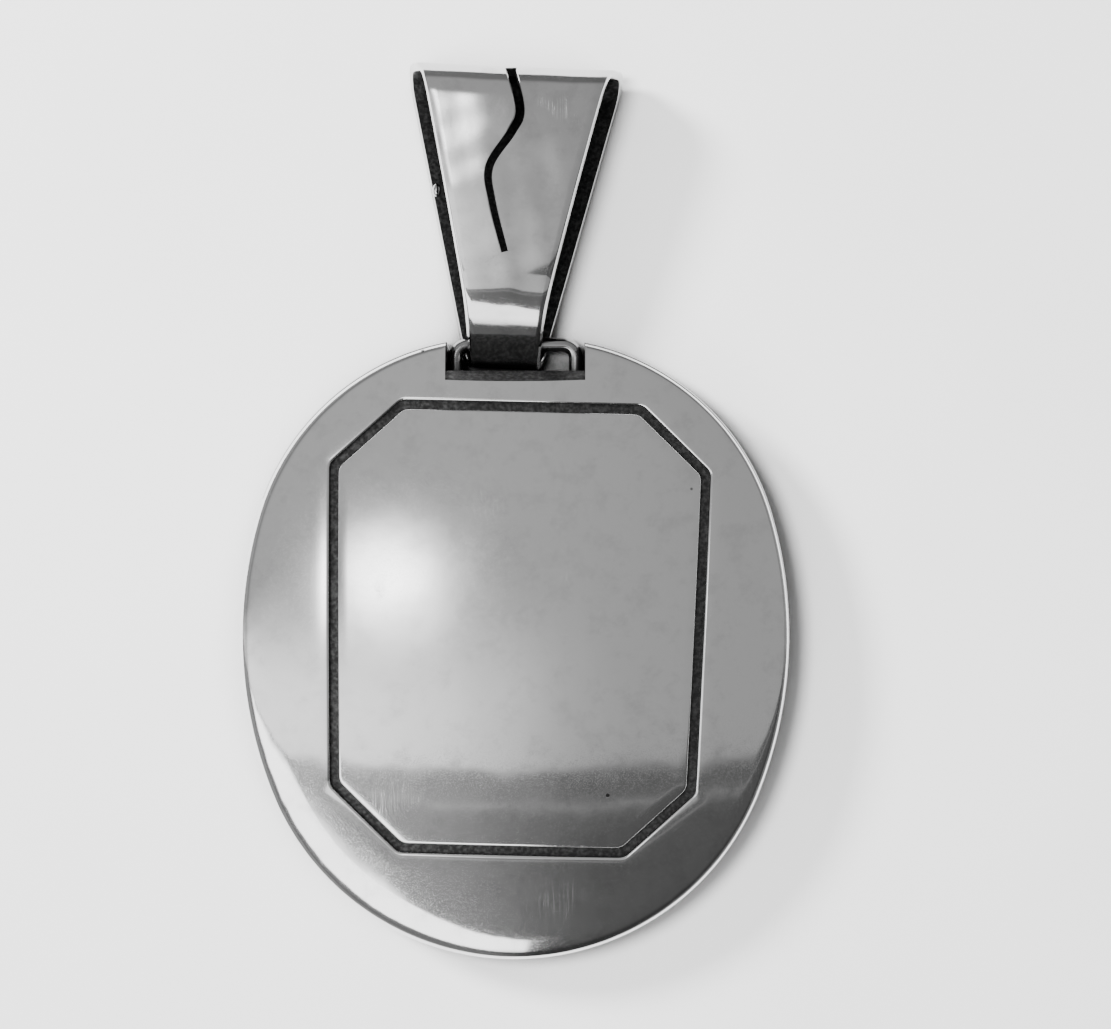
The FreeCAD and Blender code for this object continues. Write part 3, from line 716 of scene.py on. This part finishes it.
def wavy_cutters(points, normals):
    """The wavy slot in the front leaf, narrowing towards its foot: its flare and its depth.

    It follows the strap's outer line over the fold.
    """
    middle = np.array([(-0.3, 19.25), (0.45, 16.4), (-0.1, 14.8), (-1.5, 12.4), (-1.2, 10.0),
                       (-0.2, 6.6)])
    count = 90
    places = np.linspace(0, len(middle) - 1, count)
    line = np.array([catmull(middle, place) for place in places])
    on_front = (normals[:, 1] > 0.1) & (points[:, 0] > 1)
    order = np.argsort(points[on_front][:, 0])
    along = points[on_front][order]
    out = normals[on_front][order]
    surface = np.column_stack([np.interp(line[:, 1], along[:, 0], along[:, k]) for k in (0, 1)])
    normal = np.column_stack([np.interp(line[:, 1], along[:, 0], out[:, k]) for k in (0, 1)])
    runs = np.gradient(line, axis=0)
    runs = runs / np.linalg.norm(runs, axis=1)[:, None]
    half = np.linspace(WAVY_HALF_TOP, WAVY_HALF_FOOT, count)

    def cutter(levels):
        """A cutter through the given (height, extra half width) levels."""
        loops = []
        for height, extra in levels:
            spine = np.column_stack([line[:, 0], surface + normal * height])
            turned = np.column_stack([-runs[:, 1], runs[:, 0] * normal[:, 1],
                                      -runs[:, 0] * normal[:, 0]])
            reach = (half + extra)[:, None]
            loops.append(bail_place(np.vstack([spine + turned * reach,
                                               (spine - turned * reach)[::-1]])))
        total = 2 * count
        faces = [(i, (i + 1) % total, total + (i + 1) % total, total + i)
                 for i in range(total)]
        for level in (0, total):
            faces += [(level + i, level + i + 1, level + total - 2 - i, level + total - 1 - i)
                      for i in range(count - 1)]
        return new_object("cutter", np.vstack(loops), faces)

    flare = 0.09
    return cutter([(-flare, 0.0), (0.5, flare + 0.5)]), cutter([(-1.1, 0.0), (0.6, 0.0)])


def catmull(points, place):
    """A point on a smooth curve through the points."""
    last = len(points) - 1
    number = min(int(place), last - 1)
    share = place - number
    before = points[max(number - 1, 0)]
    start, stop = points[number], points[number + 1]
    after = points[min(number + 2, last)]
    return 0.5 * (2 * start + (stop - before) * share
                  + (2 * before - 5 * start + 4 * stop - after) * share ** 2
                  + (3 * start - before - 3 * stop + after) * share ** 3)


def solder_bead(points, normals):
    """The bead of solder that stands proud at the left end of the strap's seam."""
    u, w = points - normals * STRAP
    turns = np.linspace(0, 2 * math.pi, 24, endpoint=False)
    middle = np.array([-half_width(u, w) + BEAD_ACROSS, u, w])
    rings = []
    for lean in np.linspace(-1.3, 1.3, 9):
        reach = BEAD_UP * math.cos(lean)
        ring = np.column_stack([BEAD_ACROSS * np.cos(turns) * reach / BEAD_UP,
                                np.full(len(turns), BEAD_ALONG * math.sin(lean)),
                                reach * np.sin(turns)])
        rings.append(bail_place(middle + ring))
    ends = [bail_place([middle + np.array([0, side * BEAD_ALONG, 0])])[0] for side in (-1, 1)]
    return faced_out(stacked("solder_bead", rings, *ends, (BAIL_SILVER,)))


def bail_pieces():
    """The two strap pieces, joined at a seam half way up the back, and the seam's bead."""
    points, normals = strap_path()
    on_back = (points[:, 1] < 0) & (points[:, 0] > FOOT[0]) & (points[:, 0] < BAIL_SEAM)
    seam = np.nonzero(on_back)[0][-1]
    back = strap_piece("bail_tail", points[:seam + 1], normals[:seam + 1])
    front = strap_piece("bail_strap", np.vstack([points[seam:], points[:1]]),
                        np.vstack([normals[seam:], normals[:1]]))
    flare, slot = wavy_cutters(points, normals)
    carve(front, flare)
    # The slot's walls take the near-black painted shade as well.
    carve(front, slot, finish=1)
    return front, back, solder_bead(points[seam], normals[seam])


def tube(name, line, radius, count=28):
    """A round wire along a line of points, closed at its ends."""
    line = np.asarray(line, dtype=float)
    rings = []
    for number, point in enumerate(line):
        ahead = line[min(number + 1, len(line) - 1)] - line[max(number - 1, 0)]
        ahead = Vector(ahead).normalized()
        side = ahead.cross(Vector((0, 0, 1))).normalized()
        up = side.cross(ahead)
        turns = np.linspace(0, 2 * math.pi, count, endpoint=False)
        round_it = np.outer(np.cos(turns), side) + np.outer(np.sin(turns), up)
        rings.append(point + radius * round_it)
    return faced_out(stacked(name, rings, line[0], line[-1]))


def wire_loop():
    """The wire staple across the notch: two legs, two bends and the bar."""
    middle = NOTCH_MIDDLE
    line = []
    for sign, first, last in ((-1, math.pi, math.pi / 2), (1, math.pi / 2, 0)):
        centre = np.array([middle + sign * (LOOP_HALF - LOOP_BEND), BAR_Y - LOOP_BEND])
        bend = [centre + LOOP_BEND * np.array([math.cos(a), math.sin(a)])
                for a in np.linspace(first, last, 14)]
        leg = [np.array([middle + sign * LOOP_HALF, y])
               for y in np.linspace(NOTCH_FLOOR, centre[1], 6, endpoint=False)]
        if sign < 0:
            line += leg + bend
            bar_start = bend[-1]
        else:
            line += [bar_start + (bend[0] - bar_start) * share
                     for share in np.linspace(0, 1, 22)[1:-1]]
            line += bend + leg[::-1]
    return tube("wire_loop", at(np.array(line), BAR_Z), WIRE)


# ------------------------------------------------------------------ materials

def nodes_of(name):
    """A new material, its node tree and its shader."""
    material = bpy.data.materials.new(name)
    material.use_nodes = True
    tree = material.node_tree
    shader = tree.nodes["Principled BSDF"]
    return material, tree, shader


def add(tree, kind, inputs=None, **settings):
    """Adds a node; inputs may be values or other nodes' outputs."""
    node = tree.nodes.new(kind)
    for key, setting in settings.items():
        setattr(node, key, setting)
    for key, source in (inputs or {}).items():
        if isinstance(source, bpy.types.NodeSocket):
            tree.links.new(source, node.inputs[key])
        else:
            node.inputs[key].default_value = source
    return node


def ramp(tree, source, low, high, out_low, out_high, kind="SMOOTHSTEP"):
    """Maps a value's range to another, with a smooth or straight step."""
    node = add(tree, "ShaderNodeMapRange", {
        "Value": source, "From Min": low, "From Max": high,
        "To Min": out_low, "To Max": out_high}, interpolation_type=kind)
    return node.outputs["Result"]


def calc(tree, operation, first, second=0.0):
    """The result of a sum on one or two values."""
    node = add(tree, "ShaderNodeMath", {0: first, 1: second}, operation=operation)
    return node.outputs[0]


def noise(tree, place, scale, detail=2.0, rough=0.5, warp=0.0):
    """Smooth noise over a place, about 0.5 on average."""
    node = add(tree, "ShaderNodeTexNoise", {
        "Vector": place, "Scale": scale, "Detail": detail, "Roughness": rough,
        "Distortion": warp})
    return node.outputs["Fac"]


def stretched(tree, place, turn, scale):
    """Object coordinates turned about Z and stretched, for long scratches."""
    node = add(tree, "ShaderNodeMapping", {
        "Vector": place, "Rotation": (0, 0, math.radians(turn)), "Scale": scale})
    return node.outputs["Vector"]


def scratches(tree, place, turn, fineness, length, cover):
    """Thin straight scratches in one direction: 1 in a scratch and 0 elsewhere."""
    along = stretched(tree, place, turn, (fineness, length, length))
    lines = noise(tree, along, 1.0, 1.0, 0.5)
    near = calc(tree, "ABSOLUTE", calc(tree, "SUBTRACT", lines, 0.5))
    thin = ramp(tree, near, 0.0, 0.006, 0.7, 0.0)
    patch = ramp(tree, noise(tree, place, 140.0 + turn, 2.0), cover, cover + 0.06, 0.0, 1.0)
    return calc(tree, "MULTIPLY", thin, patch)


def occlusion_shade(tree, reach, clear=0.62):
    """How shut in a place is within reach: 0 in the open and 1 in a corner. It masks painted shade
    in the colours that use it.
    """
    open_sky = add(tree, "ShaderNodeAmbientOcclusion", {"Distance": reach}, samples=6)
    return ramp(tree, open_sky.outputs["AO"], clear, clear - 0.4, 0.0, 1.0)


def pits(tree, place):
    """A few tiny pits and specks in the polish: 1 in a pit and 0 elsewhere."""
    cells = add(tree, "ShaderNodeTexVoronoi", {"Vector": place, "Scale": 330.0})
    chosen = ramp(tree, calc(tree, "FRACT", calc(tree, "MULTIPLY", cells.outputs["Color"], 7.3)),
                  0.90, 0.92, 0.0, 1.0)
    near = ramp(tree, cells.outputs["Distance"], 0.03, 0.06, 1.0, 0.0)
    return calc(tree, "MULTIPLY", near, chosen)


def silver(name, tone=0.86, rough=0.05, wear=1.0, waviness=1.0, clear=0.62):
    """Hand-polished silver: haze, smudges, fine scratches, pits, a slight ripple, and darkening in
    shut-in places, which is partly tarnished metal and partly painted shade.
    """
    material, tree, shader = nodes_of(name)
    place = add(tree, "ShaderNodeTexCoord").outputs["Object"]

    cloud = noise(tree, place, 110.0, 3.0, 0.55)
    smudge = noise(tree, place, 620.0, 4.0, 0.62)
    micro = noise(tree, place, 14000.0, 1.0)
    marks = scratches(tree, place, 24, 5200, 90, 0.65)
    marks = calc(tree, "MAXIMUM", marks, scratches(tree, place, -52, 6100, 120, 0.65))
    marks = calc(tree, "MAXIMUM", marks, scratches(tree, place, 97, 4800, 100, 0.66))
    specks = pits(tree, place)
    # Ambient occlusion within 1.4 mm: partly tarnished metal in recesses, partly painted shade in
    # them and in the seams.
    recess = occlusion_shade(tree, 0.0014, clear)

    haze = ramp(tree, micro, 0.5, 0.64, rough, rough + 0.09)
    haze = calc(tree, "ADD", haze, ramp(tree, cloud, 0.4, 0.7, 0.0, 0.03 * wear))
    haze = calc(tree, "ADD", haze, ramp(tree, smudge, 0.55, 0.75, 0.0, 0.05 * wear))
    haze = calc(tree, "ADD", haze, calc(tree, "MULTIPLY", marks, 0.12 * wear))
    haze = calc(tree, "ADD", haze, calc(tree, "MULTIPLY", recess, 0.22))
    tree.links.new(haze, shader.inputs["Roughness"])

    # The colour darkens with smudges, pits and shut-in places; the darkening in shut-in places is
    # partly painted shade.
    dull_and_shade = ramp(tree, smudge, 0.45, 0.75, 0.0, 0.13 * wear)
    dull_and_shade = calc(tree, "MAXIMUM", dull_and_shade, calc(tree, "MULTIPLY", specks, 0.9))
    dull_and_shade = calc(tree, "MAXIMUM", dull_and_shade, calc(tree, "MULTIPLY", recess, 0.93))
    link_color(tree, color_mix(tree, dull_and_shade, (tone,) * 3, (0.07,) * 3), shader)

    ripple = add(tree, "ShaderNodeBump", {
        "Height": noise(tree, place, 210.0, 2.0, 0.4), "Strength": 0.06 * waviness,
        "Distance": 0.0006})
    relief = calc(tree, "MAXIMUM", marks, specks)
    fine = add(tree, "ShaderNodeBump", {
        "Height": relief, "Strength": 0.12 * wear, "Distance": 0.00002,
        "Normal": ripple.outputs["Normal"]}, invert=True)
    tree.links.new(fine.outputs["Normal"], shader.inputs["Normal"])
    shader.inputs["Metallic"].default_value = 1.0
    return material


def link_color(tree, mix, shader):
    """Links a colour mix to the shader's base colour."""
    result = [socket for socket in mix.outputs if socket.type == "RGBA"][0]
    tree.links.new(result, shader.inputs["Base Color"])


def color_mix(tree, factor, first, second):
    """A mix node of two grey or coloured tones."""
    node = tree.nodes.new("ShaderNodeMix")
    node.data_type = "RGBA"
    tree.links.new(factor, node.inputs[0])
    node.inputs[6].default_value = (*first, 1)
    node.inputs[7].default_value = (*second, 1)
    return node


def darkened_silver(name, low=0.035, high=0.09):
    """Darkened, rough silver: oxide for the channel and the notch, and near-black painted shade for
    the inside of the bail.
    """
    material, tree, shader = nodes_of(name)
    place = add(tree, "ShaderNodeTexCoord").outputs["Object"]
    grain = noise(tree, place, 3800.0, 3.0, 0.6)
    mix = color_mix(tree, ramp(tree, grain, 0.35, 0.75, 0.0, 1.0), (low,) * 3, (high,) * 3)
    link_color(tree, mix, shader)
    rough = ramp(tree, grain, 0.3, 0.7, 0.55, 0.35)
    tree.links.new(rough, shader.inputs["Roughness"])
    bump = add(tree, "ShaderNodeBump", {"Height": grain, "Strength": 0.15, "Distance": 0.00002})
    tree.links.new(bump.outputs["Normal"], shader.inputs["Normal"])
    shader.inputs["Metallic"].default_value = 0.9
    return material


def brushed(name, tone=0.7, rough=0.3):
    """Pickled and lightly brushed silver, for the inside."""
    material, tree, shader = nodes_of(name)
    place = add(tree, "ShaderNodeTexCoord").outputs["Object"]
    lines = noise(tree, stretched(tree, place, 8, (5200, 420, 420)), 1.0, 3.0, 0.6)
    cloud = noise(tree, place, 130.0, 3.0)
    mix = color_mix(tree, ramp(tree, cloud, 0.3, 0.75, 0.0, 1.0),
                    (tone,) * 3, (tone * 0.82,) * 3)
    link_color(tree, mix, shader)
    rough_value = ramp(tree, lines, 0.3, 0.7, rough, rough + 0.14)
    tree.links.new(rough_value, shader.inputs["Roughness"])
    bump = add(tree, "ShaderNodeBump", {"Height": lines, "Strength": 0.2, "Distance": 0.00001})
    tree.links.new(bump.outputs["Normal"], shader.inputs["Normal"])
    shader.inputs["Metallic"].default_value = 1.0
    return material


def acetate(name):
    """The clear window over each picture."""
    material, tree, shader = nodes_of(name)
    place = add(tree, "ShaderNodeTexCoord").outputs["Object"]
    smear = noise(tree, place, 300.0, 4.0, 0.6, 0.5)
    tree.links.new(ramp(tree, smear, 0.45, 0.75, 0.04, 0.16), shader.inputs["Roughness"])
    shader.inputs["Base Color"].default_value = (0.97, 0.98, 0.98, 1)
    shader.inputs["Transmission Weight"].default_value = 0.92
    shader.inputs["IOR"].default_value = 1.47
    return material


def card(name):
    """Matt blank card with a paper grain."""
    material, tree, shader = nodes_of(name)
    place = add(tree, "ShaderNodeTexCoord").outputs["Object"]
    fibre = noise(tree, place, 2200.0, 5.0, 0.7, 0.6)
    cloud = noise(tree, place, 120.0, 2.0)
    blend = calc(tree, "ADD", calc(tree, "MULTIPLY", fibre, 0.6), calc(tree, "MULTIPLY", cloud, 0.4))
    mix = color_mix(tree, ramp(tree, blend, 0.35, 0.65, 0.0, 1.0),
                    (0.72, 0.71, 0.68), (0.82, 0.81, 0.78))
    link_color(tree, mix, shader)
    bump = add(tree, "ShaderNodeBump", {"Height": fibre, "Strength": 0.3, "Distance": 0.00003})
    tree.links.new(bump.outputs["Normal"], shader.inputs["Normal"])
    shader.inputs["Roughness"].default_value = 0.85
    return material


def cloth(name):
    """The pale floor, with a faint weave and a painted shadow where the notch shuts out the light.
    """
    material, tree, shader = nodes_of(name)
    place = add(tree, "ShaderNodeTexCoord").outputs["Object"]
    weave = noise(tree, place, 900.0, 4.0, 0.6)
    cloud = noise(tree, place, 40.0, 3.0)
    mix = color_mix(tree, ramp(tree, cloud, 0.3, 0.7, 0.0, 1.0), (0.80,) * 3, (0.83,) * 3)
    # Painted shadow: the cloth's colour goes nearly black where ambient occlusion finds it shut in,
    # as under the notch.
    notch_painted_shadow = color_mix(tree, occlusion_shade(tree, 0.007, 0.62), (0.8,) * 3, (0.015,) * 3)
    tree.links.new(mix.outputs[2], notch_painted_shadow.inputs[6])
    link_color(tree, notch_painted_shadow, shader)
    bump = add(tree, "ShaderNodeBump", {"Height": weave, "Strength": 0.12, "Distance": 0.0001})
    tree.links.new(bump.outputs["Normal"], shader.inputs["Normal"])
    shader.inputs["Roughness"].default_value = 0.95
    shader.inputs["Specular IOR Level"].default_value = 0.1
    return material


def paint(obj, *materials):
    """Gives an object its materials."""
    slots = obj.data.materials
    slots.clear()
    for material in materials:
        slots.append(material)
    return obj


# ------------------------------------------------------------------ light, floor and camera

def world():
    """Soft studio surroundings that the silver mirrors.

    A pale ceiling with a bright lamp and a glow to the left of it, a dark shape low towards
    -Y, a bright window lower still, towards -X and -Y, and a faint glow on the side walls.
    """
    scene_world = bpy.data.worlds.new("studio")
    bpy.context.scene.world = scene_world
    scene_world.use_nodes = True
    tree = scene_world.node_tree
    background = tree.nodes["Background"]
    way = add(tree, "ShaderNodeTexCoord").outputs["Generated"]
    parts = add(tree, "ShaderNodeSeparateXYZ", {0: way})
    x, y, z = (parts.outputs[i] for i in range(3))
    up = calc(tree, "MAXIMUM", z, 0.05)
    across = calc(tree, "DIVIDE", x, up)
    along = calc(tree, "DIVIDE", y, up)

    ceiling = ramp(tree, across, -0.2, 0.5, 0.49, 0.38)
    leftness = ramp(tree, across, 0.18, -0.36, 0.0, 1.0)
    lowness = ramp(tree, along, 0.12, -0.16, 0.0, 1.3)
    glow = calc(tree, "MULTIPLY", leftness, lowness)
    light = calc(tree, "ADD", ceiling, glow)

    lamp_left, lamp_ahead = 0.255, 0.09
    lamp_wide, lamp_long = 0.11, 0.10
    lamp_fade, lamp_strength = 0.27, 5.5
    lamp_x = calc(tree, "DIVIDE", calc(tree, "ADD", across, lamp_left), lamp_wide)
    lamp_y = calc(tree, "DIVIDE", calc(tree, "SUBTRACT", along, lamp_ahead), lamp_long)
    lamp = calc(tree, "ADD", calc(tree, "POWER", lamp_x, 2.0), calc(tree, "POWER", lamp_y, 2.0))
    lamp = calc(tree, "MULTIPLY", calc(tree, "POWER", lamp_fade, lamp), lamp_strength)
    light = calc(tree, "ADD", light, lamp)

    shade = ramp(tree, along, -0.272, -0.258, 0.27, 1.0)
    deeper = ramp(tree, along, -0.365, -0.34, 0.85, 1.0)
    light = calc(tree, "MULTIPLY", calc(tree, "MULTIPLY", light, shade), deeper)
    streak = ramp(tree, calc(tree, "ABSOLUTE", calc(tree, "ADD", along, 0.338)), 0.0, 0.012,
                  0.22, 0.0)
    light = calc(tree, "ADD", light, streak)

    window = calc(tree, "ADD", across, along)
    near = ramp(tree, window, -0.79, -0.82, 0.0, 3.2)
    far = ramp(tree, window, -2.1, -1.9, 0.0, 1.0)
    frame_edge = ramp(tree, across, 0.0, 0.05, 1.0, 0.0)
    sill = ramp(tree, along, -0.26, -0.33, 0.0, 1.0)
    near = calc(tree, "MULTIPLY", calc(tree, "MULTIPLY", near, frame_edge), sill)
    light = calc(tree, "ADD", light, calc(tree, "MULTIPLY", near, far))
    steep = calc(tree, "SQRT", calc(tree, "ADD", calc(tree, "POWER", across, 2.0),
                                    calc(tree, "POWER", along, 2.0)))
    light = calc(tree, "MULTIPLY", light, ramp(tree, steep, 1.2, 2.2, 1.0, 0.45))
    walls = ramp(tree, calc(tree, "ABSOLUTE", across), 1.8, 2.6, 0.0, 0.16)
    light = calc(tree, "ADD", light, walls)
    tree.links.new(light, background.inputs["Strength"])
    background.inputs["Color"].default_value = (1, 1, 1, 1)
    return scene_world


def area_light(name, place, size, power, aim=(0, 0.01, 0)):
    """A soft round lamp aimed at a point. The silver doesn't mirror it."""
    data = bpy.data.lights.new(name, "AREA")
    data.shape = "DISK"
    data.size = size
    data.energy = power
    lamp = bpy.data.objects.new(name, data)
    lamp.location = place
    direction = Vector(aim) - Vector(place)
    lamp.rotation_euler = direction.to_track_quat("-Z", "Y").to_euler()
    lamp.visible_glossy = False
    bpy.context.scene.collection.objects.link(lamp)
    return lamp


def floor():
    """The pale cloth that the locket lies on."""
    half = 1.2
    height = -0.00002
    points = [(-half, -half, height), (half, -half, height), (half, half, height),
              (-half, half, height)]
    mesh = bpy.data.meshes.new("floor")
    mesh.from_pydata(points, [], [(0, 1, 2, 3)])
    obj = bpy.data.objects.new("floor", mesh)
    bpy.context.scene.collection.objects.link(obj)
    paint(obj, cloth("pale_cloth"))
    return obj


def camera():
    """The camera straight above, a little off the locket's middle."""
    distance = 0.232
    seen_height = 0.0025
    seen_width = 0.07777
    data = bpy.data.cameras.new("camera")
    data.sensor_width = 36.0
    data.lens = data.sensor_width * (distance - seen_height) / seen_width
    data.clip_start = 0.01
    view = bpy.data.objects.new("camera", data)
    view.location = (0.00286, 0.00931, distance)
    bpy.context.scene.collection.objects.link(view)
    bpy.context.scene.camera = view
    return view


# ------------------------------------------------------------------ assembly

POLISHED = silver("polished_silver", waviness=0.5)
# The case's occlusion darkening starts in more open places, painting shade along its rim by the seam
# and the floor.
CASE_SILVER = silver("case_silver", tone=0.6, rough=0.14, clear=0.95)
BAIL_SILVER = silver("bail_silver", tone=0.66, rough=0.06, wear=1.1, waviness=2.0)
# The wire is darker than the other silver and darker still where shut in: partly tarnished wire,
# partly painted shade in the notch.
LOOP_SILVER = silver("loop_silver", tone=0.42, rough=0.12, clear=0.85)
DARK = darkened_silver("oxidised_silver")
# Near-black painted shade for the faces inside the bail and the walls of its slot.
SHADE_BLACK = darkened_silver("painted_shade_black", 0.012, 0.04)
SATIN = brushed("satin_silver")
WIRE_SILVER = brushed("hinge_silver", tone=0.66, rough=0.22)
FILM = acetate("acetate_window")
PAPER = card("blank_card")


def stands_for(obj, body, slot, *cad_nodes):
    """Puts a piece on its body in place of CAD nodes. The slot is not used."""
    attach(obj, body)
    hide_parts(*cad_nodes)
    return obj


def build_case():
    """The cover, its panel and the tray, in place of the CAD's."""
    cover = smooth(front_cover())
    stands_for(cover, "cover", "silver_polished", "front_shell")
    panel = smooth(octagonal_panel())
    stands_for(panel, "cover", "silver_polished", "octagon_panel")
    case = smooth(back_case())
    stands_for(case, "back_half", "silver_polished", "back_shell")


def build_bail():
    """The strap, its bead of solder and the wire loop, in place of the CAD's."""
    front, back, bead = bail_pieces()
    smooth(bead)
    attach(bead, "bail")
    for piece, node in ((front, "bail_front"), (back, "bail_back")):
        smooth(piece)
        stands_for(piece, "bail", "silver_bail", node)
    loop = paint(wire_loop(), LOOP_SILVER)
    smooth(loop)
    stands_for(loop, "back_half", "silver_bail", "bail_loop")


def finish_inside():
    """Materials and softened edges for the CAD pieces that stay."""
    finishes = {
        "snap_lip": SATIN,
        "catch_bead": SATIN,
        "front_liner": SATIN,
        "back_picture_frame": SATIN,
        "front_picture_frame": SATIN,
        "hinge_knuckles_back": WIRE_SILVER,
        "hinge_knuckle_front": WIRE_SILVER,
        "hinge_pin": WIRE_SILVER,
        "back_window": FILM,
        "front_window": FILM,
        "back_picture_card": PAPER,
        "front_picture_card": PAPER,
    }
    for name, material in finishes.items():
        node = frame["nodes"][name]
        node.data.materials.clear()
        node.data.materials.append(material)
        soften(node, 0.03, angle=50)


build_case()
build_bail()
finish_inside()
world()
floor()
area_light("overhead", (-0.11, 0.05, 0.40), 0.10, 3.0)
area_light("side", (-0.30, 0.19, 0.25), 0.10, 4.2)
camera()
